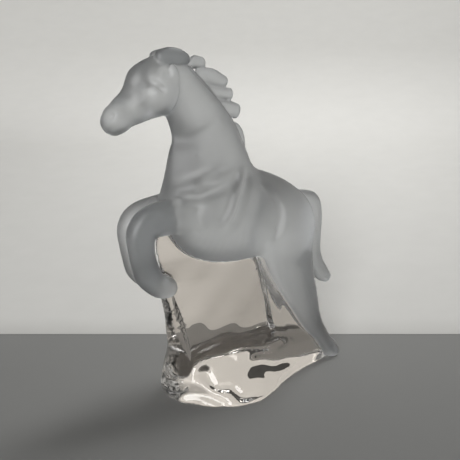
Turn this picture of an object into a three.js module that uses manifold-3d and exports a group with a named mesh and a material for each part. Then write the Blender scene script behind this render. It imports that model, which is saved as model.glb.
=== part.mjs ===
// A horse figurine pressed in one piece of glass: a satin horse rearing on a clear web and a clear base.
// Millimetres, +Z up. The horse faces -X, its left side faces -Y and the underside lies on Z = 0.
import * as THREE from 'three';
import { mergeVertices } from 'three/addons/utils/BufferGeometryUtils.js';
import Module from 'manifold-3d';

// Driving dimensions
const figureHeight = 164;
const webThickness = 8;
const webFootThickness = 20;
const webCornerThickness = 1.6;
const baseHeight = 18.5;
const baseNearWidth = 27;
const baseFarWidth = 22;
const baseEdgeRadius = 2.5;

// The stations below follow the figure's height and were taken on a horse 164 mm tall
const share = figureHeight / 164;

// How finely the rings are cut
const bodySides = 18;
const headSides = 14;
const limbSides = 10;
const lockSides = 8;
const grooveSides = 6;
const muscleSides = 12;
const smallSides = 10;
const ringsPerStation = 2;
const capRings = 2;

const wasm = await Module();
wasm.setup();

function solidFrom(geometry) {
  const bare = geometry.clone();
  bare.deleteAttribute('normal');
  bare.deleteAttribute('uv');
  const merged = mergeVertices(bare, 1e-5);
  return new wasm.Manifold(new wasm.Mesh({
    numProp: 3,
    vertProperties: new Float32Array(merged.attributes.position.array),
    triVerts: new Uint32Array(merged.index.array),
  }));
}

function geometryFrom(solid) {
  const mesh = solid.getMesh();
  const geometry = new THREE.BufferGeometry();
  geometry.setAttribute('position', new THREE.BufferAttribute(new Float32Array(mesh.vertProperties), 3));
  geometry.setIndex(new THREE.BufferAttribute(new Uint32Array(mesh.triVerts), 1));
  geometry.computeVertexNormals();
  return geometry;
}

// Catmull-Rom rows between the rows given, so that a shape runs smoothly through its stations
function smoothRows(rows, steps) {
  const before = rows[0].map((value, i) => 2 * value - rows[1][i]);
  const last = rows.length - 1;
  const after = rows[last].map((value, i) => 2 * value - rows[last - 1][i]);
  const padded = [before, ...rows, after];
  const smooth = [];
  for (let k = 1; k <= last; k += 1) {
    for (let step = 0; step < steps; step += 1) {
      const t = step / steps;
      smooth.push(rows[0].map((_, i) => {
        const [a, b, c, d] = [padded[k - 1][i], padded[k][i], padded[k + 1][i], padded[k + 2][i]];
        const bend = (2 * a - 5 * b + 4 * c - d) * t * t + (3 * b - a - 3 * c + d) * t * t * t;
        return 0.5 * (2 * b + (c - a) * t + bend);
      }));
    }
  }
  smooth.push(rows[last]);
  return smooth;
}

// A closed skin over rings of equal length, with a point at each end
function skin(rings, firstPoint, lastPoint) {
  const sides = rings[0].length;
  const points = [firstPoint, ...rings.flat(), lastPoint];
  const index = [];
  const at = (ring, side) => 1 + ring * sides + (side % sides);
  for (let side = 0; side < sides; side += 1) {
    index.push(0, at(0, side), at(0, side + 1));
    index.push(points.length - 1, at(rings.length - 1, side + 1), at(rings.length - 1, side));
    for (let ring = 0; ring < rings.length - 1; ring += 1) {
      const [a, b] = [at(ring, side), at(ring, side + 1)];
      const [c, d] = [at(ring + 1, side), at(ring + 1, side + 1)];
      index.push(a, c, b, b, c, d);
    }
  }
  const geometry = new THREE.BufferGeometry().setFromPoints(points);
  geometry.setIndex(index);
  return geometry;
}

// A rounded limb through stations [x, y, z, half depth, half width, lean]. The depth lies in the plane
// of the horse's side, and lean makes the section wider towards one edge of that depth.
function limb(stations, sides, steps = ringsPerStation) {
  const rows = smoothRows(stations.map((row) => [...row, 0].slice(0, 6)), steps).map(
    (row) => row.map((value, i) => (i < 5 ? value * share : value)),
  );
  const centres = rows.map((row) => new THREE.Vector3(row[0], row[1], row[2]));
  const count = rows.length;
  const along = centres.map((_, i) => {
    const next = centres[Math.min(i + 1, count - 1)];
    return next.clone().sub(centres[Math.max(i - 1, 0)]).normalize();
  });
  const ring = (i, shift, size) => {
    const deep = new THREE.Vector3(-along[i].z, 0, along[i].x).normalize();
    const wide = deep.clone().cross(along[i]);
    const middle = centres[i].clone().addScaledVector(along[i], shift);
    const [halfDepth, halfWidth, lean] = rows[i].slice(3);
    return Array.from({ length: sides }, (_, side) => {
      const angle = (side / sides) * Math.PI * 2;
      const width = halfWidth * (1 + lean * Math.cos(angle));
      return middle.clone()
        .addScaledVector(deep, size * halfDepth * Math.cos(angle))
        .addScaledVector(wide, size * width * Math.sin(angle));
    });
  };
  const capLength = (i) => Math.min(rows[i][3], rows[i][4]);
  const rings = [];
  for (let cap = capRings; cap > 0; cap -= 1) {
    const turn = (cap / (capRings + 1)) * Math.PI / 2;
    rings.push(ring(0, -capLength(0) * Math.sin(turn), Math.cos(turn)));
  }
  rows.forEach((_, i) => rings.push(ring(i, 0, 1)));
  for (let cap = 1; cap <= capRings; cap += 1) {
    const turn = (cap / (capRings + 1)) * Math.PI / 2;
    rings.push(ring(count - 1, capLength(count - 1) * Math.sin(turn), Math.cos(turn)));
  }
  const firstPoint = centres[0].clone().addScaledVector(along[0], -capLength(0));
  const lastPoint = centres[count - 1].clone().addScaledVector(along[count - 1], capLength(count - 1));
  return solidFrom(skin(rings, firstPoint, lastPoint));
}

// A rounded muscle, an ellipsoid turned by pitch in the plane of the horse's side
function muscle([x, y, z], [long, wide, tall], pitch, sides = muscleSides) {
  const geometry = new THREE.SphereGeometry(1, sides, Math.round(sides * 0.6));
  geometry.scale(long * share, wide * share, tall * share);
  geometry.rotateY(-THREE.MathUtils.degToRad(pitch));
  geometry.translate(x * share, y * share, z * share);
  return solidFrom(geometry);
}

// The two sides of the horse, near (-1) and far (+1)
const bothSides = (make) => [-1, 1].flatMap(make);

function barrel() {
  return [limb([
    [-37, 0, 95, 11, 10.5, -0.1],
    [-31, 0, 92, 17.5, 13.6, -0.1],
    [-25, 0, 90, 21.5, 15.2, -0.05],
    [-15, 0, 88.6, 23, 16, -0.05],
    [-2, 0, 88, 22.2, 16.6, -0.15],
    [9, 0, 86.2, 20, 16.2, -0.15],
    [17, 0, 83.6, 17.6, 15, -0.1],
    [22.5, 0, 81.2, 15, 12.8, -0.1],
  ], bodySides)];
}

function shoulders() {
  return bothSides((side) => muscle([-20.5, side * 7.4, 94.5], [11.5, 8.4, 15.5], -26));
}

function neck() {
  return [limb([
    [-38, 0, 149, 9, 6.6, 0.1],
    [-34, 0, 141.5, 11.8, 6.9, 0.25],
    [-29, 0, 132.5, 14.3, 8, 0.4],
    [-25.8, 0, 124, 17.2, 9.4, 0.45],
    [-24.6, 0, 114.5, 20.4, 11.2, 0.4],
    [-23.8, 0, 105, 23, 13.2, 0.25],
    [-23.5, 0, 97, 23.4, 14.6, 0.05],
  ], bodySides)];
}

function head() {
  const cheeks = bothSides((side) => muscle([-47.8, side * 4.2, 146], [6.8, 5, 9.6], -20));
  return [...cheeks, limb([
    [-39, 0, 151, 9.5, 6.6, 0],
    [-46, 0, 148.2, 12, 7.8, 0.2],
    [-52, 0, 145, 11, 7.2, 0.28],
    [-57.8, 0, 140.4, 8.2, 5.9, 0.25],
    [-62.3, 0, 137, 6.2, 4.9, 0.12],
    [-66, 0, 134.4, 6.1, 5.5, 0],
    [-67.8, 0, 133, 5.5, 5.2, 0],
  ], headSides)];
}

// The forelegs stand a slit apart, folded at the knee, with their hoofs tucked back onto the web
function forelegs() {
  return bothSides((side) => limb([
    [-20, side * 8, 93, 13, 8],
    [-33, side * 7.6, 92.5, 10.5, 7],
    [-46, side * 6.2, 92.2, 8.3, 6],
    [-56, side * 6.2, 90.5, 7.4, 5.6],
    [-60, side * 6.2, 86, 6.8, 5.4],
    [-60.4, side * 6.2, 79.5, 5.9, 5],
    [-59.4, side * 6.2, 72.5, 5.8, 4.8],
    [-57.8, side * 6.2, 67, 6, 5],
    [-55, side * 6.2, 62.9, 5.4, 4.8],
    [-51.8, side * 6.2, 60.6, 5.4, 5],
    [-49, side * 6, 59.6, 4.8, 4.8],
  ], limbSides));
}

function hindLegs() {
  return bothSides((side) => [
    muscle([16.6, side * 7.6, 80.6], [13.8, 10.6, 17.6], -8),
    limb([
      [14, side * 9, 80, 16.5, 9.5],
      [17, side * 8.8, 68, 14, 8.4],
      [20.8, side * 8, 57, 12, 7.4],
      [25, side * 7.4, 47.5, 10.3, 6.4],
      [29.2, side * 7, 38.5, 8.8, 5.6],
      [33, side * 6.6, 29.5, 7, 5],
      [37.2, side * 6.3, 21.5, 5.8, 4.5],
      [41.5, side * 6.1, 14.8, 5.4, 4.6],
      [45.3, side * 6, 9.6, 5, 4.5],
      [48.4, side * 6, 5.4, 5.2, 5],
    ], limbSides),
    muscle([51.2, side * 6, 2.6], [4.6, 4.8, 4.4], -30, smallSides),
  ]);
}

function tail() {
  return [limb([
    [25, 0, 94.5, 3, 3.5],
    [32, 0, 93.6, 3.4, 3.6],
    [37.8, 0, 90.5, 4.4, 3.4],
    [40, 0, 83, 4.4, 3.3],
    [40.1, 0, 73, 4.3, 3.2],
    [40, 0, 63, 4.6, 3.1],
    [42.4, 0, 55, 4.8, 2.9],
    [46.6, 0, 48.9, 4.6, 2.6],
    [50.6, 0, 45.4, 3.2, 2.2],
  ], lockSides, 1)];
}

// The forelock falls over the brow, and the ears are laid back along the poll with a root beside the cheek
function forelockAndEars() {
  const forelock = limb([
    [-46, 0, 157, 3.4, 4.2, 0.2],
    [-52, 0, 154.2, 4.2, 4.6, 0.3],
    [-56.6, 0, 151.4, 4.2, 4.2, 0.3],
    [-58.6, 0, 148.6, 3.4, 3.2, 0.2],
  ], lockSides, 1);
  const ears = bothSides((side) => [
    muscle([-43.3, side * 6.8, 152.8], [4.2, 1.9, 2.1], 106, smallSides),
    limb([
      [-47.4, side * 3.3, 158.8, 3.4, 2.3],
      [-44, side * 3.5, 159.5, 3.8, 2.6],
      [-40, side * 3.5, 159.4, 3.7, 2.6],
      [-36.3, side * 3.3, 158.8, 2.7, 2],
    ], lockSides, 1),
  ]);
  return [forelock, ...ears];
}

// Each lock of the mane: [x, z, half depth] along its middle, thin across the neck
const locks = [
  [[-33.5, 158, 2.8], [-30, 158.2, 2.8], [-27, 157.9, 2.5]],
  [[-28.5, 152.9, 3.2], [-22.2, 151.9, 4], [-15.8, 150.2, 2.7]],
  [[-23.5, 146.2, 2.4], [-18, 145.3, 2.7], [-13, 144.8, 2.9]],
  [[-18.5, 140, 2.6], [-13.2, 138.4, 3.6], [-9.2, 137.2, 3.6]],
  [[-13.6, 130.8, 2.6], [-9.6, 128.6, 3.2], [-7.2, 124, 2.7], [-6.2, 118, 2]],
];

function mane() {
  const stationsOf = (lock) => lock.map(([x, z, depth]) => [x, 0, z, depth, 1.7 + 0.1 * depth]);
  return locks.map((lock) => limb(stationsOf(lock), lockSides, 1));
}

// The clear web in the plane of the horse's side: [z, front x, rear x]. Its rear lies inside the hind legs.
const webStations = [
  [0, -41, 45],
  [8, -41.5, 44],
  [18, -42, 39],
  [33, -43, 33],
  [47, -45, 28],
  [57, -47, 25],
  [63, -47.9, 22],
  [70, -50.6, 19],
  [81, -51.4, 15],
  [88, -49, 12],
];

// The web is thickest at its foot. It swells before the hind legs, less towards the ground, and its upper
// front corner, behind the knees, thins to an edge
const footRise = 40;
const cornerStart = 57;
const cornerFull = 70;
const cornerRun = 30;
const swellStart = 6;
const swellLean = 0.24;
const swellMiddle = 50;
const swellRun = 5;
const swell = 2.6;
const rearFootThickness = 12.4;

function web() {
  const rings = webStations.map(([z, front, rear]) => {
    const low = THREE.MathUtils.clamp(1 - z / footRise, 0, 1);
    const half = THREE.MathUtils.lerp(webThickness, webFootThickness, low ** 1.5) / 2;
    const behind = THREE.MathUtils.lerp(half + swell, rearFootThickness / 2, low);
    const thin = THREE.MathUtils.smoothstep(z, cornerStart, cornerFull);
    const edge = THREE.MathUtils.lerp(half, webCornerThickness / 2, thin);
    const rim = [[front + edge * 0.5, -edge], [front, -edge * 0.5]];
    const start = swellStart + swellLean * (swellMiddle - z);
    const swollen = [[rear, -behind], [start + swellRun, -half - swell * (1 - low)], [start, -half]];
    const near = [...swollen, [front + cornerRun, -half], ...rim];
    const far = [...near].reverse().map(([x, y]) => [x, -y]);
    return [...near, ...far].map(([x, y]) => new THREE.Vector3(x * share, y, z * share));
  });
  const middleOf = (ring) => new THREE.Vector3(0, 0, ring[0].z);
  return [solidFrom(skin(rings, middleOf(rings[0]), middleOf(rings[rings.length - 1])))];
}

// The thick rim of the web below the fore hooves, a column that widens downwards
function column() {
  return [limb([
    [-48.4, 0, 62, 2.4, 4.2],
    [-46.4, 0, 53, 3, 5],
    [-44.7, 0, 45.5, 3.5, 5.8],
    [-42.9, 0, 37.4, 4.1, 6.8],
    [-41.4, 0, 27, 4.9, 8],
    [-41.8, 0, 17, 6.8, 9],
    [-42.2, 0, 7, 8.2, 10],
  ], limbSides, 1)];
}

// The clear base: [x, height, near foot, near shelf, far foot, far shelf], where x follows the figure and
// the rest are shares of the base's own height and widths
const baseStations = [
  [-46.5, 0.42, 0.12, 0.05, 0.45, 0.2],
  [-45, 0.52, 0.3, 0.2, 0.62, 0.28],
  [-40, 0.72, 0.46, 0.3, 0.78, 0.36],
  [-33, 0.92, 0.74, 0.34, 0.9, 0.4],
  [-24, 1, 0.91, 0.35, 1, 0.43],
  [-10, 1, 1, 0.37, 1, 0.45],
  [0, 0.97, 0.85, 0.4, 0.84, 0.45],
  [15, 0.92, 0.58, 0.4, 0.64, 0.45],
  [30, 0.78, 0.36, 0.31, 0.44, 0.35],
  [44, 0.59, 0.26, 0.22, 0.34, 0.25],
  [51, 0.45, 0.2, 0.12, 0.26, 0.18],
];

function base() {
  const rows = smoothRows(baseStations, 2);
  const rings = rows.map(([x, heightShare, nearFoot, nearShelf, farFoot, farShelf]) => {
    const height = heightShare * baseHeight;
    const shoulder = Math.min(baseEdgeRadius, height / 3);
    const section = [
      [-nearFoot * baseNearWidth, 0],
      [-(nearFoot * 0.5 + nearShelf * 0.5) * baseNearWidth, height * 0.55],
      [-nearShelf * baseNearWidth - shoulder * 0.6, height - shoulder * 0.6],
      [-nearShelf * baseNearWidth + shoulder * 0.4, height],
      [0, height],
      [farShelf * baseFarWidth - shoulder * 0.4, height],
      [farShelf * baseFarWidth + shoulder * 0.6, height - shoulder * 0.6],
      [(farFoot * 0.5 + farShelf * 0.5) * baseFarWidth, height * 0.55],
      [farFoot * baseFarWidth, 0],
      [0, 0],
    ];
    return section.map(([y, z]) => new THREE.Vector3(x * share, y, z));
  });
  const middleOf = (ring) => new THREE.Vector3(ring[0].x, 0, ring[4].z / 2);
  return [solidFrom(skin(rings, middleOf(rings[0]), middleOf(rings[rings.length - 1])))];
}

// Everything below the underside's plane is ground away
function underside() {
  const reach = figureHeight * 2;
  const geometry = new THREE.BoxGeometry(reach, reach, figureHeight);
  geometry.translate(0, 0, -figureHeight / 2);
  return solidFrom(geometry);
}

// Creases carved into the satin: [x, z] along each, then its half width and depth
const creases = [
  [[[-35.3, 156.1], [-29.3, 150.5], [-22.9, 145.1], [-16.3, 137.8], [-11, 127.9], [-8.8, 123.6]], 1, 0.9],
  [[[-46, 101.6], [-34.2, 101.9], [-26.1, 103.5], [-19.1, 106.6], [-15.8, 110.9]], 2, 1.4],
  [[[-9, 112], [-11.5, 105], [-15, 98], [-18.4, 90.4], [-23, 84]], 2, 0.9],
  [[[-4.2, 106.6], [0.4, 102.5], [5.1, 96.4], [5.9, 90.5], [2.1, 77.1]], 1.8, 0.8],
  [[[-40.2, 150], [-39.8, 146], [-40.8, 141], [-43, 136.6]], 1.2, 0.8],
];

// The cuts of the creases on both sides, the hollows of the eyes, the parting between the ears and the slit
// between the forelegs
function carving(body) {
  const model = new THREE.Mesh(geometryFrom(body), new THREE.MeshBasicMaterial({ side: THREE.DoubleSide }));
  const skinAt = (x, z, side) => {
    const start = new THREE.Vector3(x * share, side * figureHeight, z * share);
    const hits = new THREE.Raycaster(start, new THREE.Vector3(0, -side, 0)).intersectObject(model);
    return hits[0].point.y / share;
  };
  const cuts = bothSides((side) => creases.map(([line, halfWidth, depth]) => limb(
    line.map(([x, z]) => [x, skinAt(x, z, side), z, halfWidth, depth]),
    grooveSides,
    1,
  )));
  const [eyeX, eyeZ] = [-49.9, 146.9];
  const eyeRadii = [2.1, 1.1, 1.4];
  const eyes = bothSides((side) => muscle([eyeX, skinAt(eyeX, eyeZ, side), eyeZ], eyeRadii, -25, smallSides));
  const parting = muscle([-40.5, 0, 163], [8, 1, 8], 0, smallSides);
  const slit = muscle([-48, 0, 90], [10.5, 0.9, 11], 0, smallSides);
  return [...cuts.flat(), ...eyes, parting, slit];
}

const pieces = [
  ...barrel(),
  ...shoulders(),
  ...neck(),
  ...head(),
  ...forelegs(),
  ...hindLegs(),
  ...tail(),
  ...forelockAndEars(),
  ...mane(),
  ...web(),
  ...column(),
  ...base(),
];
const body = pieces.reduce((sum, piece) => sum.add(piece)).subtract(underside());
const whole = carving(body).reduce((rest, cut) => rest.subtract(cut), body);

const glass = new THREE.MeshStandardMaterial({ color: 0xb4b5b1, roughness: 0.45, metalness: 0 });
const horse = new THREE.Mesh(geometryFrom(whole), glass);
horse.name = 'horse_figurine';

const group = new THREE.Group();
group.add(horse);

export default group;
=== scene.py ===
# A rearing horse pressed in one piece of glass: the horse is etched to a satin skin, and the web under its
# belly and the base are left clear. The sculpture is worked out in millimetres as a field of distances,
# skinned as one mesh, and set over the CAD solid in metres.
import math

import bpy
import numpy as np
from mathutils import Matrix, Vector


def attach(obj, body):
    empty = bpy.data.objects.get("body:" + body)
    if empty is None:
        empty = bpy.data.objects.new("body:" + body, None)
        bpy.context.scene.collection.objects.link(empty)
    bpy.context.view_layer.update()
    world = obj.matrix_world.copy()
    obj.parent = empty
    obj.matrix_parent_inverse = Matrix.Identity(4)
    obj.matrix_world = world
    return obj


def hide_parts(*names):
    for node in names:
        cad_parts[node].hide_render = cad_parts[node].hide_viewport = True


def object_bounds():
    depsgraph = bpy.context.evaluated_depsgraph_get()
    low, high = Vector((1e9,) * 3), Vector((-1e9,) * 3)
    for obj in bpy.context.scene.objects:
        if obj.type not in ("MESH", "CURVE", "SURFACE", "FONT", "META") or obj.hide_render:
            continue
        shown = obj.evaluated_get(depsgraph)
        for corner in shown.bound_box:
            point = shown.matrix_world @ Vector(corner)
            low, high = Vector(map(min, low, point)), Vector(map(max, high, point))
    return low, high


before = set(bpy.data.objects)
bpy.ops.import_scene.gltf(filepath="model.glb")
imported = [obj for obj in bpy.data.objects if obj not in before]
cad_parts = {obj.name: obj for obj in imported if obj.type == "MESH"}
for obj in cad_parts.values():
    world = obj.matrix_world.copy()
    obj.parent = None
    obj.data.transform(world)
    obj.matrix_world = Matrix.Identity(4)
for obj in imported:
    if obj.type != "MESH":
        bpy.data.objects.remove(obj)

cadLow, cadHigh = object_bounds()


# Sculpting tools

farAway = 50.0  # millimetres, further than any fillet reaches


def smoothRows(rows, steps=4):
    # Catmull-Rom rows between the stations given
    rows = np.array(rows, float)
    padded = np.vstack([2 * rows[0] - rows[1], rows, 2 * rows[-1] - rows[-2]])
    smooth = []
    for a, b, c, d in zip(padded[:-3], padded[1:-2], padded[2:-1], padded[3:]):
        for t in np.arange(steps) / steps:
            bend = (2 * a - 5 * b + 4 * c - d) * t ** 2 + (3 * b - a - 3 * c + d) * t ** 3
            smooth.append(0.5 * (2 * b + (c - a) * t + bend))
    smooth.append(rows[-1])
    return np.array(smooth)


def makeGrid(low, high, cell):
    low = np.array(low, float)
    count = np.ceil((np.array(high) - low) / cell).astype(int) + 1
    axes = [low[i] + cell * np.arange(count[i]) for i in range(3)]
    return {"low": low, "cell": cell, "count": count, "axes": axes}


def emptyField(grid):
    return np.full(tuple(grid["count"]), farAway, np.float32)


def windowOf(grid, low, high):
    # The part of the grid between two corners, and its x, y and z ready to combine
    cuts = []
    for i in range(3):
        first = int(np.floor((low[i] - grid["low"][i]) / grid["cell"]))
        last = int(np.ceil((high[i] - grid["low"][i]) / grid["cell"])) + 1
        cuts.append(slice(max(first, 0), min(max(last, 0), grid["count"][i])))
    x, y, z = [grid["axes"][i][cuts[i]].astype(np.float32) for i in range(3)]
    return tuple(cuts), x[:, None, None], y[None, :, None], z[None, None, :]


def blended(a, b, radius):
    # The nearer of two distances, with a fillet of that radius where they meet
    overlap = np.clip(radius - np.abs(a - b), 0, None) / radius
    return np.minimum(a, b) - overlap * overlap * radius / 4


def addShape(field, window, distance, radius):
    field[window] = blended(field[window], distance, radius)


def cutShape(field, window, distance, radius):
    field[window] = -blended(-field[window], distance, radius)


def limbDistance(x, y, z, rows):
    # Rows of x, y, z, half depth, half width, lean: an ellipse swept through them, rounded at both ends
    nearest = np.full(np.broadcast_shapes(x.shape, y.shape, z.shape), farAway, np.float32)
    for a, b in zip(rows[:-1], rows[1:]):
        step = b[:3] - a[:3]
        length = np.linalg.norm(step)
        along = step / length
        deep = np.array([-along[2], 0, along[0]])
        deep = deep / np.linalg.norm(deep)
        wide = np.cross(deep, along)
        px, py, pz = x - a[0], y - a[1], z - a[2]
        reach = px * along[0] + py * along[1] + pz * along[2]
        t = np.clip(reach / length, 0, 1)
        depth = a[3] + (b[3] - a[3]) * t
        width = a[4] + (b[4] - a[4]) * t
        cap = np.minimum(depth, width)
        u = (px * deep[0] + pz * deep[2]) / depth
        width = width * (1 + (a[5] + (b[5] - a[5]) * t) * np.clip(u, -1, 1))
        v = (px * wide[0] + py * wide[1] + pz * wide[2]) / width
        w = (reach - t * length) / cap
        size = np.sqrt(u * u + v * v + w * w) + 1e-6
        slope = np.sqrt((u / depth) ** 2 + (v / width) ** 2 + (w / cap) ** 2) + 1e-6
        np.minimum(nearest, size * (size - 1) / slope, out=nearest)
    return nearest


def addLimb(grid, field, stations, radius):
    rows = smoothRows([(list(row) + [0])[:6] for row in stations])
    margin = (rows[:, 3:5].max(1) * 1.3 + radius + 2)[:, None]
    window, x, y, z = windowOf(grid, (rows[:, :3] - margin).min(0), (rows[:, :3] + margin).max(0))
    addShape(field, window, limbDistance(x, y, z, rows), radius)


def eggDistance(x, y, z, centre, radii, pitch, yaw):
    # An ellipsoid: pitch turns it in the plane of the horse's side, yaw turns it about the upright
    cosPitch, sinPitch = math.cos(math.radians(pitch)), math.sin(math.radians(pitch))
    cosYaw, sinYaw = math.cos(math.radians(yaw)), math.sin(math.radians(yaw))
    px, py, pz = x - centre[0], y - centre[1], z - centre[2]
    ahead, across = px * cosYaw + py * sinYaw, py * cosYaw - px * sinYaw
    u = (ahead * cosPitch + pz * sinPitch) / radii[0]
    v = across / radii[1]
    w = (pz * cosPitch - ahead * sinPitch) / radii[2]
    size = np.sqrt(u * u + v * v + w * w) + 1e-6
    slope = np.sqrt((u / radii[0]) ** 2 + (v / radii[1]) ** 2 + (w / radii[2]) ** 2) + 1e-6
    return size * (size - 1) / slope


def addEgg(grid, field, centre, radii, radius, pitch=0, yaw=0, cut=False):
    margin = max(radii) + radius + 2
    window, x, y, z = windowOf(grid, np.array(centre) - margin, np.array(centre) + margin)
    change = cutShape if cut else addShape
    change(field, window, eggDistance(x, y, z, centre, radii, pitch, yaw), radius)


def fieldAt(grid, field, points):
    # The field between its grid points
    place = np.clip((points - grid["low"]) / grid["cell"], 0, grid["count"] - 1.001)
    whole = place.astype(int)
    part = place - whole
    total = 0
    for corner in np.ndindex(2, 2, 2):
        weight = np.abs(1 - np.array(corner) - part).prod(1)
        total = total + weight * field[tuple((whole + corner).T)]
    return total


def onSkin(grid, field, flat, side, reach=30, step=0.25):
    # Points (x, z) set on the skin of the near side (-1) or far side (1)
    inward = np.arange(reach, 0, -step)
    points = []
    for x, z in flat:
        ray = np.stack([np.full(inward.shape, x), side * inward, np.full(inward.shape, z)], 1)
        inside = fieldAt(grid, field, ray) < 0
        points.append(ray[int(np.argmax(inside))] if inside.any() else (x, 0, z))
    return np.array(points)


def carveLine(grid, field, points, width, depth, steps=5):
    # A soft groove along a line, or a ridge where depth is below zero; it fades out at both ends
    line = smoothRows(points, steps) if len(points) > 2 else np.array(points, float)
    margin = width * 2.6
    window, x, y, z = windowOf(grid, line.min(0) - margin, line.max(0) + margin)
    nearest = np.full(np.broadcast_shapes(x.shape, y.shape, z.shape), 1e6, np.float32)
    fade = np.zeros(nearest.shape, np.float32)
    count = len(line) - 1
    for i, (a, b) in enumerate(zip(line[:-1], line[1:])):
        step = b - a
        t = ((x - a[0]) * step[0] + (y - a[1]) * step[1] + (z - a[2]) * step[2]) / (step @ step)
        t = np.clip(t, 0, 1)
        gap = (x - a[0] - t * step[0]) ** 2 + (y - a[1] - t * step[1]) ** 2 + (z - a[2] - t * step[2]) ** 2
        along = (i + t) / count
        strength = np.clip(np.minimum(along, 1 - along) * 6 + 0.15, 0, 1)
        closer = gap < nearest
        nearest = np.where(closer, gap, nearest)
        fade = np.where(closer, strength, fade)
    field[window] += depth * fade * np.exp(-nearest / width ** 2)


def carveSides(grid, field, flat, width, depth):
    for side in (-1, 1):
        carveLine(grid, field, onSkin(grid, field, flat, side), width, depth)


# The satin horse. It faces -X, its left side faces -Y. Stations are x, y, z, half depth, half width, lean.

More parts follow.
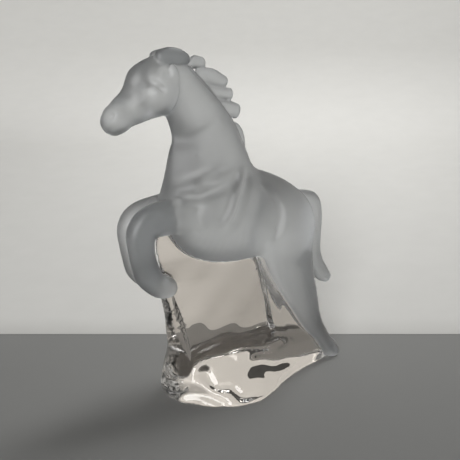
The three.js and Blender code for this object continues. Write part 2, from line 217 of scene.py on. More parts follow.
horse = {
    "barrel": [
        (-37, 0, 95, 11, 10.5, -0.1), (-31, 0, 92, 17.5, 13.6, -0.1), (-25, 0, 90, 21.5, 15.2, -0.05),
        (-15, 0, 88.6, 23, 16, -0.05), (-2, 0, 88, 22.2, 16.6, -0.15), (9, 0, 86.2, 20, 16.2, -0.15),
        (17, 0, 83.6, 17.6, 15, -0.1), (22.5, 0, 81.2, 15, 12.8, -0.1),
    ],
    "neck": [
        (-38, 0, 149, 9, 6.6, 0.1), (-34, 0, 141.5, 11.8, 6.9, 0.25), (-29, 0, 132.5, 14.3, 8, 0.4),
        (-25.8, 0, 124, 17.2, 9.4, 0.45), (-24.6, 0, 114.5, 20.4, 11.2, 0.4),
        (-23.8, 0, 105, 23, 13.2, 0.25), (-23.5, 0, 97, 23.4, 14.6, 0.05),
    ],
    "head": [
        (-39, 0, 151, 9.5, 6.6, 0), (-46, 0, 148.2, 12, 7.8, 0.2), (-52, 0, 145, 11, 7.2, 0.28),
        (-57.8, 0, 140.4, 8.2, 5.9, 0.25), (-62.6, 0, 137.4, 6.8, 5, 0.12), (-66, 0, 134.4, 6.1, 5.5, 0),
        (-67.8, 0, 133, 5.5, 5.2, 0),
    ],
    "foreleg": [
        (-20, 8, 93, 13, 8), (-33, 7.6, 92.5, 10.5, 7), (-46, 6.2, 92.2, 8.3, 6), (-56, 6.2, 90.5, 7.4, 5.6),
        (-60, 6.2, 86, 6.8, 5.4), (-60.4, 6.2, 79.5, 5.9, 5), (-59.4, 6.2, 72.5, 5.8, 4.8),
        (-57.8, 6.2, 67, 6, 5), (-55, 6.2, 62.9, 5.4, 4.8), (-51.8, 6.2, 60.6, 5.4, 5),
        (-49, 6, 59.6, 4.8, 4.8),
    ],
    "hindLeg": [
        (14, 9, 80, 16.5, 9.5), (17, 8.8, 68, 14, 8.4), (20.8, 8, 57, 12, 7.4), (25, 7.4, 47.5, 10.3, 6.4),
        (29.2, 7, 38.5, 8.8, 5.6), (33, 6.6, 29.5, 7, 5), (37.2, 6.3, 21.5, 5.8, 4.5),
        (41.5, 6.1, 14.8, 5.4, 4.6), (45.3, 6, 9.6, 5, 4.5), (48.4, 6, 5.4, 5.2, 5),
    ],
    "tail": [
        (25, 0, 94.5, 3, 3.5), (32, 0, 93.6, 3.4, 3.6), (37.8, 0, 90.5, 4.4, 3.4), (40, 0, 83, 4.4, 3.3),
        (40.1, 0, 73, 4.3, 3.2), (40, 0, 63, 4.6, 3.1), (42.4, 0, 55, 4.8, 2.9), (46.6, 0, 48.9, 4.6, 2.6),
        (50.6, 0, 45.4, 3.2, 2.2),
    ],
    "forelock": [
        (-46, 0, 157, 3.4, 4.2, 0.2), (-52, 0, 154.2, 4.2, 4.6, 0.3), (-56.6, 0, 151.4, 4.2, 4.2, 0.3),
        (-58.6, 0, 148.6, 3.4, 3.2, 0.2),
    ],
    "ear": [  # laid back along the poll
        (-47.4, 3.3, 158.8, 3.4, 2.3), (-44, 3.5, 159.5, 3.8, 2.6), (-40, 3.5, 159.4, 3.7, 2.6),
        (-36.3, 3.3, 158.8, 2.7, 2),
    ],
    "locks": [  # x, z, half depth of each lock of the mane
        [(-33.5, 158, 2.8), (-30, 158.2, 2.8), (-27, 157.9, 2.5)],
        [(-28.5, 152.9, 3.2), (-22.2, 151.9, 4), (-15.8, 150.2, 2.7)],
        [(-23.5, 146.2, 2.4), (-18, 145.3, 2.7), (-13, 144.8, 2.9)],
        [(-18.5, 140, 2.6), (-13.2, 138.4, 3.6), (-9.2, 137.2, 3.6)],
        [(-13.6, 130.8, 2.6), (-9.6, 128.6, 3.2), (-7.2, 124, 2.7), (-6.2, 118, 2)],
    ],
    "lockThickness": 1.6,
    "lockSwell": 0.1,  # share of the half depth that a lock's thickness gains
    "lockStrand": 0.2,  # share of the half depth by which its strand lies outwards and upwards
    "fillets": {  # where each limb runs into what is there before it
        "barrel": 3, "neck": 6, "head": 2, "foreleg": 1.2, "hindLeg": 3,
        "tail": 1, "forelock": 1.2, "lock": 0.2, "ear": 0.6,
    },
    "strands": {"mane": (0.7, 0.3), "tail": (0.7, 0.4), "forelock": (0.8, 0.5)},  # width and depth
    "tailStrand": 1.5,  # how far the tail's strands lie before and behind its middle
    "forelockStrand": (1.8, 0.4, 0.85),  # to either side, then shares of the half depth, ahead and up
    "chip": ([(-33.6, 118.4), (-31.6, 119.2)], 0.5, 0.6),  # near side of the neck: x and z, width, depth
    "eggs": {  # muscles and hollows: the middle on the far side, half sizes, fillet, pitch, yaw
        "shoulder": ((-20.5, 7.4, 94.5), (11.5, 8.4, 15.5), 4, -26, 0),
        "haunch": ((16.6, 7.6, 80.6), (13.6, 10.4, 17.4), 5, -8, 0),
        "cheek": ((-47.8, 4.2, 146), (6.6, 4.9, 9.4), 1.2, -20, 0),
        "nostril's swell": ((-66.5, 2.6, 135), (4.6, 3.6, 5), 1.5, 35, 0),
        "hind hoof": ((51.2, 6, 2.6), (4.6, 4.8, 4.4), 0.8, -30, 0),
        "slit between the forelegs": ((-51.4, 0, 88.4), (10.5, 0.9, 12.6), 0.4, 0, 0),
        "ear's root": ((-43.3, 6.8, 152.8), (4, 1.7, 1.9), 1.4, 106, 8),
        "ear's hollow": ((-46.4, 8.8, 152.8), (2.8, 1.5, 1.6), 1.2, 60, 0),
        "parting between the ears": ((-40.5, 0, 163), (8, 1, 8), 0.4, 0, 0),
        "eye": ((-50.1, 8.6, 147), (2.2, 1.7, 1.1), 0.8, -30, 0),
        "nostril": ((-70.4, 4.7, 135.6), (1.9, 1.1, 1.2), 0.9, 35, 0),
    },
}


def mirrored(stations, side):
    return [(row[0], side * row[1]) + tuple(row[2:]) for row in stations]


def addNamedLimb(grid, field, name, side=1):
    addLimb(grid, field, mirrored(horse[name], side), horse["fillets"][name])


def addNamedEgg(grid, field, name, side=1, cut=False):
    (x, y, z), radii, fillet, pitch, yaw = horse["eggs"][name]
    addEgg(grid, field, (x, side * y, z), radii, fillet, pitch, side * yaw, cut)


def sculptHorse(grid):
    field = emptyField(grid)
    addNamedLimb(grid, field, "barrel")
    for side in (-1, 1):
        addNamedEgg(grid, field, "shoulder", side)
        addNamedEgg(grid, field, "haunch", side)
    addNamedLimb(grid, field, "neck")
    addNamedLimb(grid, field, "head")
    for side in (-1, 1):
        addNamedEgg(grid, field, "cheek", side)
        addNamedEgg(grid, field, "nostril's swell", side)
    for side in (-1, 1):
        addNamedLimb(grid, field, "foreleg", side)
        addNamedLimb(grid, field, "hindLeg", side)
        addNamedEgg(grid, field, "hind hoof", side)
    addNamedEgg(grid, field, "slit between the forelegs", cut=True)
    addNamedLimb(grid, field, "tail")
    addNamedLimb(grid, field, "forelock")
    sculptMane(grid, field)
    sculptEars(grid, field)
    carveHorse(grid, field)
    return field


def sculptMane(grid, field):
    thickness, shift = horse["lockThickness"], horse["lockStrand"]
    for lock in horse["locks"]:
        rows = [(x, 0, z, depth, thickness + horse["lockSwell"] * depth) for x, z, depth in lock]
        addLimb(grid, field, rows, horse["fillets"]["lock"])
        for side in (-1, 1):
            skin = side * thickness
            strand = [(x, skin + side * shift * depth, z + shift * depth) for x, z, depth in lock]
            carveLine(grid, field, strand, *horse["strands"]["mane"])


def sculptEars(grid, field):
    for side in (-1, 1):
        addNamedEgg(grid, field, "ear's root", side)
        addNamedLimb(grid, field, "ear", side)
        addNamedEgg(grid, field, "ear's hollow", side, cut=True)
    addNamedEgg(grid, field, "parting between the ears", cut=True)


carving = {  # lines on the skin as x, z, then their width and depth; a depth below zero is a ridge
    "crest": (
        [(-35.3, 156.1), (-33, 153.7), (-29.3, 150.5), (-25.9, 147.7), (-22.9, 145.1), (-19.4, 141.7),
         (-16.3, 137.8), (-13.7, 133.3), (-11, 127.9), (-8.8, 123.6)], 0.9, 0.8),
    "back of the poll": ([(-32.8, 161.5), (-32.9, 159), (-34, 156.4)], 0.8, 1.1),
    "fold across the neck": ([(-42, 127), (-38, 126), (-33, 127.6), (-25.5, 132.4), (-20, 135)], 4.5, 0.9),
    "shoulder's lower edge": (
        [(-44, 101.4), (-40, 101), (-34.2, 101.9), (-26.1, 103.5), (-19.1, 106.6), (-15.8, 110.9)], 2.3, 1.9),
    "above that edge": ([(-38, 105), (-34, 105.4), (-28, 106.8), (-22, 109.6)], 2.8, -0.8),
    "before the streak": ([(-18, 108), (-20.6, 103), (-24, 96.5), (-27.5, 90)], 2.2, 0.8),
    "shoulder's streak": (
        [(-12.8, 112.5), (-15.4, 106.3), (-19, 99.4), (-22.1, 91.9), (-26.8, 86.4)], 1.8, -1.1),
    "behind the streak": ([(-9, 112), (-11.5, 105), (-15, 98), (-18.4, 90.4), (-23, 84)], 2.2, 1.5),
    "hollow of the foreleg": (
        [(-51.5, 93.5), (-56.6, 90.6), (-60.4, 82.6), (-60.2, 70.4), (-56.2, 63)], 3.2, 1.3),
    "lower shoulder": ([(-37, 97), (-36, 91), (-34, 86)], 2.2, 0.8),
    "before the thigh": (
        [(-4.2, 106.6), (0.4, 102.5), (5.1, 96.4), (5.9, 90.5), (4.3, 84.3), (2.1, 77.1)], 1.9, 1.4),
    "front of the thigh": ([(1, 105.6), (5, 101.6), (9, 95.6), (9.6, 89.6), (8, 83.4), (6, 77)], 2.6, -0.4),
    "jaw": ([(-40.2, 150), (-39.8, 146), (-40.8, 141), (-43, 136.6)], 1.3, 0.9),
    "cheek's rim": ([(-42.6, 150.4), (-42.1, 146.1), (-43.1, 140.8), (-45.5, 136.8)], 1.0, -0.5),
    "corner of the eye": ([(-54.4, 149.4), (-52, 148.6), (-49.8, 147.1), (-48.2, 145)], 1.1, 1.6),
    "mouth": ([(-72.5, 131), (-69.5, 130.4), (-66.5, 131.6)], 0.6, 0.3),
    "face bone": ([(-54.5, 143), (-58, 140.4), (-61.4, 138)], 1.5, -0.35),
    "hock": ([(20, 60), (25.5, 49), (31, 37.5)], 1.6, 0.5),
    "tendon": ([(31.5, 36), (36, 27), (40, 19)], 1.0, 0.5),
    "pastern": ([(45, 4), (49, 7.4), (53.4, 8)], 0.8, 0.6),
}


def carveHorse(grid, field):
    for flat, width, depth in carving.values():
        carveSides(grid, field, flat, width, depth)
    chip, width, depth = horse["chip"]
    carveLine(grid, field, onSkin(grid, field, chip, -1), width, depth)
    for side in (-1, 1):
        addNamedEgg(grid, field, "eye", side, cut=True)
        addNamedEgg(grid, field, "nostril", side, cut=True)
    aside, ahead, up = horse["forelockStrand"]
    for side in (-1, 1):
        strand = [(x + side * horse["tailStrand"], z) for x, _, z, _, _ in horse["tail"][2:]]
        carveSides(grid, field, strand, *horse["strands"]["tail"])
    for side in (-1, 1):
        strand = [(x - ahead * depth, side * aside, z + up * depth)
                  for x, _, z, depth, _, _ in horse["forelock"][1:]]
        carveLine(grid, field, strand, *horse["strands"]["forelock"])


# The clear web and base

clearGlass = {
    "web": [  # z, front x, rear x, half thickness
        (-4, -41, 45, 10.5), (8, -41.5, 44, 8.6), (18, -42, 39, 7), (28, -42.4, 35, 6),
        (38, -43.4, 31, 5.3), (47, -45, 28, 4.8), (54, -46.6, 26, 4.4), (60, -47.4, 24, 4.2),
        (67.5, -49.8, 20, 4), (74.5, -51.4, 17, 4), (81, -51.4, 15, 4), (88, -49, 12, 4),
    ],
    "webTop": 86.0,  # inside the belly
    "webEdge": 0.98,  # radius of the web's rounded edges, as a share of its half thickness
    "wedge": (57.0, 70.0, 30.0, 0.1),  # the front thins from this z to that, over this run, to this share
    "gusset": (6.0, 50.0, 0.24, 5.0, 2.6),  # behind this x at this z, with this lean and run, each side grows
    "foot": (40.0, 11.5, 33.5, 6.8),  # below this z, behind this x and over this run, each side thins by this
    "column": [  # the thick wavy rim below the fore hooves
        (-48.4, 0, 62, 2.4, 4.2), (-46.4, 0, 53, 3, 5), (-44.7, 0, 45.5, 3.5, 5.8),
        (-42.9, 0, 37.4, 4.1, 6.8), (-41.4, 0, 27, 4.9, 8), (-41.8, 0, 17, 6.8, 9), (-42.2, 0, 7, 8.2, 10),
    ],
    "columnFillet": 0.8,
    "uneven": (7.5, 0.3),  # slow waves all over the clear glass: their length and height
    "ripple": (2.6, 0.13),  # the column's waves: from one to the next, and their height
    "rippleDepth": (6.0, 3.0),  # how far behind the web's front they reach, and over what run they fade
    "rippleFrom": (22.0, 6.0),  # the lowest z of the waves, and over what run they fade in
    "rippleTo": (60.0, 4.0),  # the highest z, and over what run they fade out
    "rippleRise": (0.09, 0.2),  # how much they curve up towards the front, and rise to both sides
    "rippleWander": (1.3, 0.31, 0.2),  # how far they wander, and how fast with z and with x
    "baseHeight": 18.5,
    "baseNear": 27.0,
    "baseFar": 22.0,
    "baseRidge": 6.0,  # roundings: along the top, where the flanks meet it, and at both ends
    "baseEdge": 3.0,
    "baseEnds": 4.0,
    "base": [  # x, then shares: height, near foot, near shelf, far foot, far shelf
        (-46.5, 0.42, 0.12, 0.05, 0.45, 0.2), (-45, 0.52, 0.3, 0.2, 0.62, 0.28),
        (-40, 0.72, 0.46, 0.3, 0.78, 0.36),
        (-33, 0.92, 0.74, 0.34, 0.9, 0.4), (-24, 1, 0.91, 0.35, 1, 0.43), (-10, 1, 1, 0.37, 1, 0.45),
        (0, 0.97, 0.85, 0.4, 0.84, 0.45), (15, 0.92, 0.58, 0.4, 0.64, 0.45),
        (30, 0.78, 0.36, 0.31, 0.44, 0.35),
        (44, 0.59, 0.26, 0.22, 0.34, 0.25), (51, 0.45, 0.2, 0.12, 0.26, 0.18),
    ],
    "fillet": 9.0,
    "dents": [  # on the near side of the base, as x, z, then width and depth; below zero it is a ridge
        ([(-47, 8.6), (-41, 10.8), (-36, 10.2), (-31, 7), (-26, 4.4), (-20, 1.5)], 2.4, -0.9),
        ([(-46, 3.4), (-40.5, 5.2), (-35, 4.8), (-30, 2.6), (-26, 0.4)], 1.8, 1.2),
        ([(-35.6, 15), (-32.4, 14.6), (-31.2, 10.6), (-28.7, 8.2), (-22.2, 7.4), (-19, 3.6),
          (-14.1, 2.7)], 1.6, 2.2),
        ([(-10, 13.4), (-2, 13.2), (6, 10.4), (15, 9.6), (22.6, 8)], 3.0, 1.6),
    ],
}


def sculptClear(grid):
    field = emptyField(grid)
    window, x, y, z = windowOf(grid, grid["low"], grid["low"] + grid["cell"] * grid["count"])
    rows = smoothRows(clearGlass["web"])
    front, rear, half = [np.interp(z, rows[:, 0], rows[:, i]).astype(np.float32) for i in range(1, 4)]
    start, full, run, share = clearGlass["wedge"]
    thinned = np.clip((z - start) / (full - start), 0, 1) * (1 - share) * np.clip(1 - (x - front) / run, 0, 1)
    start, level, lean, run, extra = clearGlass["gusset"]
    start = start + lean * (level - z)
    top, rearStart, rearRun, less = clearGlass["foot"]
    low = np.clip(1 - z / top, 0, 1)
    half = half * (1 - thinned) + extra * np.clip((x - start) / run, 0, 1)
    half = half - less * low * np.clip((x - rearStart) / rearRun, 0, 1)
    radius = half * clearGlass["webEdge"]
    outside = np.maximum(np.maximum(front - x, x - rear), z - clearGlass["webTop"]) + radius
    beside = np.abs(y) - half + radius
    corner = np.hypot(np.clip(outside, 0, None), np.clip(beside, 0, None))
    web = corner + np.minimum(np.maximum(outside, beside), 0) - radius
    rows = smoothRows(clearGlass["base"])
    height, nearFoot, nearShelf, farFoot, farShelf = [
        np.interp(x, rows[:, 0], rows[:, i]).astype(np.float32) for i in range(1, 6)
    ]
    height = height * clearGlass["baseHeight"]

    def flank(foot, shelf, width, across):
        run = (foot - shelf) * width / height
        return (across - shelf * width - (height - z) * run) / np.sqrt(1 + run * run)

    near = flank(nearFoot, nearShelf, clearGlass["baseNear"], -y)
    far = flank(farFoot, farShelf, clearGlass["baseFar"], y)
    sides = -blended(-near, -far, clearGlass["baseRidge"])
    top = -blended(-sides, height - z, clearGlass["baseEdge"])
    ends = np.maximum(rows[0, 0] - x, x - rows[-1, 0])
    base = -blended(-top, -ends, clearGlass["baseEnds"])
    field[window] = blended(web, base, clearGlass["fillet"])
    addLimb(grid, field, clearGlass["column"], clearGlass["columnFillet"])
    for line, width, depth in clearGlass["dents"]:
        carveLine(grid, field, onSkin(grid, field, line, -1), width, depth)
    between, crest = clearGlass["uneven"]
    waves = np.sin(x / between * 2 + 1) * np.sin(y / between * 2.6) * np.sin(z / between * 2 + 2)
    field[window] += crest * waves
    between, crest = clearGlass["ripple"]
    rippleDepth, fade = clearGlass["rippleDepth"]
    behind = x - front - rippleDepth
    reach = np.clip(-behind / fade, 0, 1)
    lowest, fade = clearGlass["rippleFrom"]
    reach = reach * np.clip((z - lowest) / fade, 0, 1)
    highest, fade = clearGlass["rippleTo"]
    reach = reach * np.clip((highest - z) / fade, 0, 1)
    bow, tilt = clearGlass["rippleRise"]
    wander, upwards, backwards = clearGlass["rippleWander"]
    slope = z - bow * behind ** 2 - tilt * np.abs(y) + wander * np.sin(upwards * z + backwards * x)
    field[window] += crest * reach * np.sin(2 * math.pi * slope / between)
    return field


# From field to mesh

def surfaceNet(grid, field):
    # One point for each cell that the surface crosses, and one four-sided face for each grid edge it crosses
    size = np.array(field.shape)
    total = np.zeros(tuple(size - 1) + (3,), np.float32)
    count = np.zeros(tuple(size - 1), np.float32)
    crossings = []
    for axis in range(3):
        first = tuple(slice(0, -1) if i == axis else slice(None) for i in range(3))
        second = tuple(slice(1, None) if i == axis else slice(None) for i in range(3))
        a, b = field[first], field[second]
        cross = (a < 0) != (b < 0)
        share = np.where(cross, a / np.where(cross, a - b, 1), 0)
        crossings.append((cross, a < 0))
        others = [i for i in range(3) if i != axis]
        for du in (0, 1):
            for dv in (0, 1):
                cut = [slice(None)] * 3
                cut[others[0]] = slice(du, size[others[0]] - 1 + du)
                cut[others[1]] = slice(dv, size[others[1]] - 1 + dv)
                here = cross[tuple(cut)]
                total[..., axis] += share[tuple(cut)] * here
                total[..., others[0]] += du * here
                total[..., others[1]] += dv * here
                count += here
    active = count > 0
    index = np.full(active.shape, -1, int)
    index[active] = np.arange(active.sum())
    points = grid["low"] + grid["cell"] * (np.argwhere(active) + total[active] / count[active][:, None])
    faces = []
    for axis, (cross, startsInside) in enumerate(crossings):
        u, v = [i for i in range(3) if i != axis]
        inner = tuple(slice(1, -1) if i != axis else slice(None) for i in range(3))
        edges = np.argwhere(cross[inner])
        edges[:, [u, v]] += 1
        corners = []
        for du, dv in ((0, 0), (1, 0), (1, 1), (0, 1)):
            cell = edges.copy()
            cell[:, u] -= du
            cell[:, v] -= dv
            corners.append(index[tuple(cell.T)])
        quads = np.stack(corners, 1)
        turned = startsInside[tuple(edges.T)] != (axis == 1)
        quads[~turned] = quads[~turned][:, ::-1]
        faces.append(quads)
    return points, np.vstack(faces)


def settle(grid, field, points, faces, rounds):
    # Evens out the points along the surface, then moves them back onto it
    edges = np.vstack([faces[:, [i, (i + 1) % 4]] for i in range(4)])
    links = np.bincount(edges.ravel(), minlength=len(points))[:, None]
    half = grid["cell"] / 2
    for turn in range(rounds):
        middle = np.zeros_like(points)
        for i in range(3):
            middle[:, i] = np.bincount(edges[:, 0], points[edges[:, 1], i], len(points))
            middle[:, i] += np.bincount(edges[:, 1], points[edges[:, 0], i], len(points))
        points = 0.5 * points + 0.5 * middle / links
        for again in range(2):
            slope = [fieldAt(grid, field, points + half * axis) - fieldAt(grid, field, points - half * axis)
                     for axis in np.eye(3)]
            slope = np.stack(slope, 1) / grid["cell"]
            step = fieldAt(grid, field, points) / np.maximum((slope ** 2).sum(1), 0.1)
            points = points - slope * np.clip(step, -1.2 * half, 1.2 * half)[:, None]
    return points


def splitAlong(points, faces, mask):
    # Triangles cut where the mask changes sign, and for each whether it lies on the mask's positive side
    triangles = np.vstack([faces[:, [0, 1, 2]], faces[:, [0, 2, 3]]])
    mask = np.where(np.abs(mask) < 1e-4, 1e-4, mask)
    positive = mask[triangles] > 0
    mixed = positive.any(1) & ~positive.all(1)
    points = list(points)
    made = {}

    def between(a, b):
        key = (min(a, b), max(a, b))
        if key not in made:
            t = mask[a] / (mask[a] - mask[b])
            made[key] = len(points)
            points.append(points[a] + (points[b] - points[a]) * t)
        return made[key]

    kept = [tuple(t) for t in triangles[~mixed]]
    clear = list(positive[~mixed].all(1))
    for corners, signs in zip(triangles[mixed], positive[mixed]):
        lone = int(np.argmax(signs == (signs.sum() == 1)))
        a, b, c = [int(corners[(lone + i) % 3]) for i in range(3)]
        ab, ac = between(a, b), between(a, c)
        kept += [(a, ab, ac), (ab, b, c), (ab, c, ac)]
        clear += [bool(signs[lone])] + [not signs[lone]] * 2
    return np.array(points), kept, clear


figurine = {
    "cell": 0.85,  # millimetres from one grid point to the next
    "quickCell": 1.2,
    "gridLow": (-80, -32, -4),
    "gridHigh": (62, 32, 168),
    "join": 0.8,  # fillet where the horse runs into the clear glass
    "footEdge": 1.2,  # rounding along the ground underside
    "settling": 2,
}


def sculptFigurine():
    cell = figurine["cell"]
    grid = makeGrid(figurine["gridLow"], figurine["gridHigh"], cell)
    satin = sculptHorse(grid)
    print("horse sculpted")
    clear = sculptClear(grid)
    print("web and base sculpted")
    whole = blended(satin, clear, figurine["join"])
    height = grid["axes"][2].astype(np.float32)
    whole = -blended(-whole, height + 0 * whole, figurine["footEdge"])
    points, faces = surfaceNet(grid, whole)
    points = settle(grid, whole, points, faces, figurine["settling"])
    points, triangles, isClear = splitAlong(points, faces, fieldAt(grid, satin - clear, points))
    print("skin of", len(triangles), "triangles")
    return points, triangles, isClear


def setOver(points):
    # The sculpture's millimetres fitted to the CAD box, standing on its underside
    scale = (cadHigh.z - cadLow.z) / (points[:, 2].max() - points[:, 2].min())
    points = points * scale
    points[:, 2] += cadLow.z - points[:, 2].min()
    return points


def addFigurine():
    points, triangles, isClear = sculptFigurine()
    mesh = bpy.data.meshes.new("glassHorse")
    mesh.from_pydata(setOver(points).tolist(), [], triangles)
    mesh.polygons.foreach_set("use_smooth", [True] * len(triangles))
    mesh.polygons.foreach_set("material_index", [int(clear) for clear in isClear])
    mesh.materials.append(satinEtchedGlass())
    mesh.materials.append(clearPressedGlass())
    mesh.update()
    glassHorse = bpy.data.objects.new("glassHorse", mesh)
    bpy.context.scene.collection.objects.link(glassHorse)
    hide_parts("horse_figurine")
    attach(glassHorse, "root")


# Materials

def hexColor(text):
    # An sRGB hex value as linear red, green, blue and alpha
    values = [int(text[i:i + 2], 16) / 255 for i in (1, 3, 5)]
    return [v / 12.92 if v <= 0.04045 else ((v + 0.055) / 1.055) ** 2.4 for v in values] + [1]


def addNode(tree, kind, settings=None, links=None):
    node = tree.nodes.new(kind)
    for name, value in (settings or {}).items():
        if name in node.inputs:
            node.inputs[name].default_value = value
        else:
            setattr(node, name, value)
    for name, source in (links or {}).items():
        tree.links.new(source, node.inputs[name])
    return node


def newMaterial(name):
    material = bpy.data.materials.new(name)
    material.use_nodes = True
    return material, material.node_tree, material.node_tree.nodes["Principled BSDF"]


satinGlass = {
    "color": "#ced0d2",
    "roughness": 0.46,
    "ior": 1.52,
    "gritSize": 0.6,  # millimetres; the real grit is finer than the picture shows
    "gritDepth": 0.02,
    "gritStrength": 0.3,
}


def satinEtchedGlass():
    # Acid-etched pressed glass: a soft grey glow, no sharp reflections, brighter at thin edges
    material, tree, shader = newMaterial("satinEtchedGlass")
    shader.inputs["Base Color"].default_value = hexColor(satinGlass["color"])
    shader.inputs["Roughness"].default_value = satinGlass["roughness"]
    shader.inputs["IOR"].default_value = satinGlass["ior"]
    shader.inputs["Transmission Weight"].default_value = 1
    place = addNode(tree, "ShaderNodeTexCoord")
    grit = addNode(tree, "ShaderNodeTexNoise", {"Scale": 1000 / satinGlass["gritSize"], "Detail": 2.0},
                   {"Vector": place.outputs["Object"]})
    relief = {"Strength": satinGlass["gritStrength"], "Distance": satinGlass["gritDepth"] / 1000}
    bump = addNode(tree, "ShaderNodeBump", relief, {"Height": grit.outputs["Fac"]})
    tree.links.new(bump.outputs["Normal"], shader.inputs["Normal"])
    return material


pressedGlass = {
    "color": "#fcf5ee",
    "roughness": 0.015,
    "ior": 1.52,
    "waveSize": 9.0,  # millimetres between the slow waves that the mould leaves
    "waveDepth": 0.06,
}


def clearPressedGlass():
    # Fire-polished pressed glass: see-through, faintly warm, with the mould's slow waves in its reflections
    material, tree, shader = newMaterial("clearPressedGlass")
    shader.inputs["Base Color"].default_value = hexColor(pressedGlass["color"])
    shader.inputs["Roughness"].default_value = pressedGlass["roughness"]
    shader.inputs["IOR"].default_value = pressedGlass["ior"]
    shader.inputs["Transmission Weight"].default_value = 1
    place = addNode(tree, "ShaderNodeTexCoord")
    wave = addNode(tree, "ShaderNodeTexNoise", {"Scale": 1000 / pressedGlass["waveSize"], "Detail": 1.0},
                   {"Vector": place.outputs["Object"]})
    relief = {"Strength": 1.0, "Distance": pressedGlass["waveDepth"] / 1000}
    bump = addNode(tree, "ShaderNodeBump", relief, {"Height": wave.outputs["Fac"]})
    tree.links.new(bump.outputs["Normal"], shader.inputs["Normal"])
    return material


# Studio

studio = {
    "floorColor": "#90908e",
    "backdropColor": "#d2d1cd",
    "paperRoughness": 0.9,
    "fleckScale": 60.0,  # flecks along the longest side of a sheet
    "fleckShade": 0.94,
    "floorSize": 4.0,
    "floorDrop": -0.0002,
    "paperTurn": 30.0,  # which way the backdrop lies, degrees from +Y towards +X
    "paperStart": 0.046,  # where the paper leaves the floor, metres from the figure's middle
    "paperBend": 0.06,  # radius of the bend there
    "paperSlope": 20.0,  # degrees, from the bend up to the curve
    "paperCurve": (0.32, 0.12),  # where the curve starts, and its radius
    "bendSteps": 8,
    "curveSteps": 24,
    "paperWidth": 1.3,
    "paperTop": 0.42,
    "skyColor": "#8f8f8d",
    "skyStrength": 0.22,
    "lights": {  # place, target, width and height in metres, watts, spread in degrees
        "keyLight": ((-2.7, -3.0, 1.1), (0.1, 0.2, 0.1), (2.4, 2.4), 150, 180),
        "paperLight": ((0.4, 0.1, 0.9), (0.12, 0.24, 0), (0.3, 0.3), 0.8, 70),
    },
}


def matteStudioPaper(name, color):
    # Plain matte paper, faintly uneven
    material, tree, shader = newMaterial(name)
    shader.inputs["Roughness"].default_value = studio["paperRoughness"]
    base = hexColor(color)
    fleck = addNode(tree, "ShaderNodeTexNoise", {"Scale": studio["fleckScale"], "Detail": 3.0})
    shade = addNode(tree, "ShaderNodeMix", {"data_type": "RGBA"})
    shade.inputs[6].default_value = base
    shade.inputs[7].default_value = [v * studio["fleckShade"] for v in base[:3]] + [1]
    tree.links.new(fleck.outputs["Fac"], shade.inputs[0])
    tree.links.new(shade.outputs[2], shader.inputs["Base Color"])
    return material


def addSheet(name, corners, faces, material):
    mesh = bpy.data.meshes.new(name)
    mesh.from_pydata(corners, [], faces)
    mesh.materials.append(material)
    sheet = bpy.data.objects.new(name, mesh)
    bpy.context.scene.collection.objects.link(sheet)
    return sheet


def addLight(name, place, target, size, watts, spread):
    light = bpy.data.lights.new(name, "AREA")
    light.shape = "RECTANGLE"
    light.size, light.size_y = size
    light.energy = watts
    light.spread = math.radians(spread)
    lamp = bpy.data.objects.new(name, light)
    lamp.location = place
    lamp.rotation_euler = (Vector(target) - Vector(place)).to_track_quat("-Z", "Y").to_euler()
    bpy.context.scene.collection.objects.link(lamp)


def paperProfile():
    # How far back and how high the backdrop paper runs: a bend, a gentle slope, a curve and a straight rise
    steep = math.radians(studio["paperSlope"])
    curveStart, radius = studio["paperCurve"]
    start, bend = studio["paperStart"], studio["paperBend"]
    points = []
    for i in range(studio["bendSteps"] + 1):
        turn = steep * i / studio["bendSteps"]
        points.append((start + bend * math.sin(turn), bend * (1 - math.cos(turn))))
    reach, height = points[-1]
    height += (curveStart - reach) * math.tan(steep)
    for i in range(studio["curveSteps"] + 1):
        turn = steep + (math.pi / 2 - steep) * i / studio["curveSteps"]
        across = curveStart + radius * (math.sin(turn) - math.sin(steep))
        points.append((across, height + radius * (math.cos(steep) - math.cos(turn))))
    points.append((points[-1][0], studio["paperTop"]))
    return points


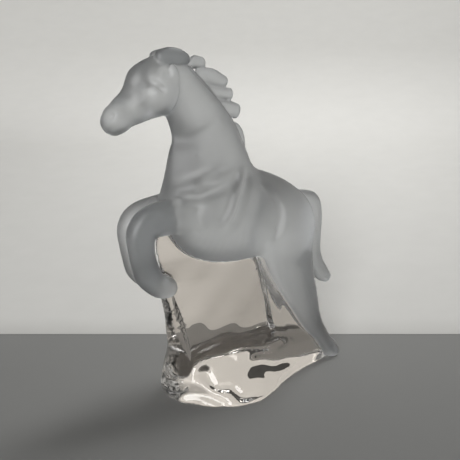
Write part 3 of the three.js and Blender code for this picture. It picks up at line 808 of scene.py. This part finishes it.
def addBackdrop():
    turn = math.radians(studio["paperTurn"])
    back = Vector((math.sin(turn), math.cos(turn), 0))
    across = Vector((math.cos(turn), -math.sin(turn), 0)) * studio["paperWidth"] / 2
    corners = []
    for reach, height in paperProfile():
        middle = back * reach + Vector((0, 0, height))
        corners += [tuple(middle - across), tuple(middle + across)]
    faces = [(i, i + 1, i + 3, i + 2) for i in range(0, len(corners) - 2, 2)]
    paper = matteStudioPaper("mattePaperBackdrop", studio["backdropColor"])
    sheet = addSheet("backdrop", corners, faces, paper)
    for face in sheet.data.polygons:
        face.use_smooth = True


def addStudio():
    half = studio["floorSize"] / 2
    drop = studio["floorDrop"]
    corners = [(-half, -half, drop), (half, -half, drop), (half, half, drop), (-half, half, drop)]
    addSheet("floor", corners, [(0, 1, 2, 3)], matteStudioPaper("mattePaperFloor", studio["floorColor"]))
    addBackdrop()
    world = bpy.data.worlds.new("studioSky")
    world.use_nodes = True
    world.node_tree.nodes["Background"].inputs["Color"].default_value = hexColor(studio["skyColor"])
    world.node_tree.nodes["Background"].inputs["Strength"].default_value = studio["skyStrength"]
    bpy.context.scene.world = world
    for name, light in studio["lights"].items():
        addLight(name, *light)


camera = {
    "place": (-0.1312, -0.2056, 0.140),  # metres
    "heading": 30.0,  # degrees from +Y towards +X
    "pitch": 14.04,  # degrees below the horizon
    "focalPixels": 500.0,  # focal length in pixels of a picture 460 wide
    "pictureWidth": 460.0,
    "sensorWidth": 36.0,  # millimetres
    "nearest": 0.01,
}


def addCamera():
    data = bpy.data.cameras.new("pictureCamera")
    data.sensor_width = camera["sensorWidth"]
    data.lens = data.sensor_width * camera["focalPixels"] / camera["pictureWidth"]
    data.clip_start = camera["nearest"]
    eye = bpy.data.objects.new("pictureCamera", data)
    eye.location = camera["place"]
    eye.rotation_euler = (math.radians(90 - camera["pitch"]), 0, math.radians(-camera["heading"]))
    bpy.context.scene.collection.objects.link(eye)
    bpy.context.scene.camera = eye


addCamera()
addStudio()
print("studio and camera set")
addFigurine()
print("figurine placed")
bpy.context.scene.view_settings.view_transform = "Standard"
bpy.context.scene.cycles.transmission_bounces = 16
bpy.context.scene.cycles.max_bounces = 20
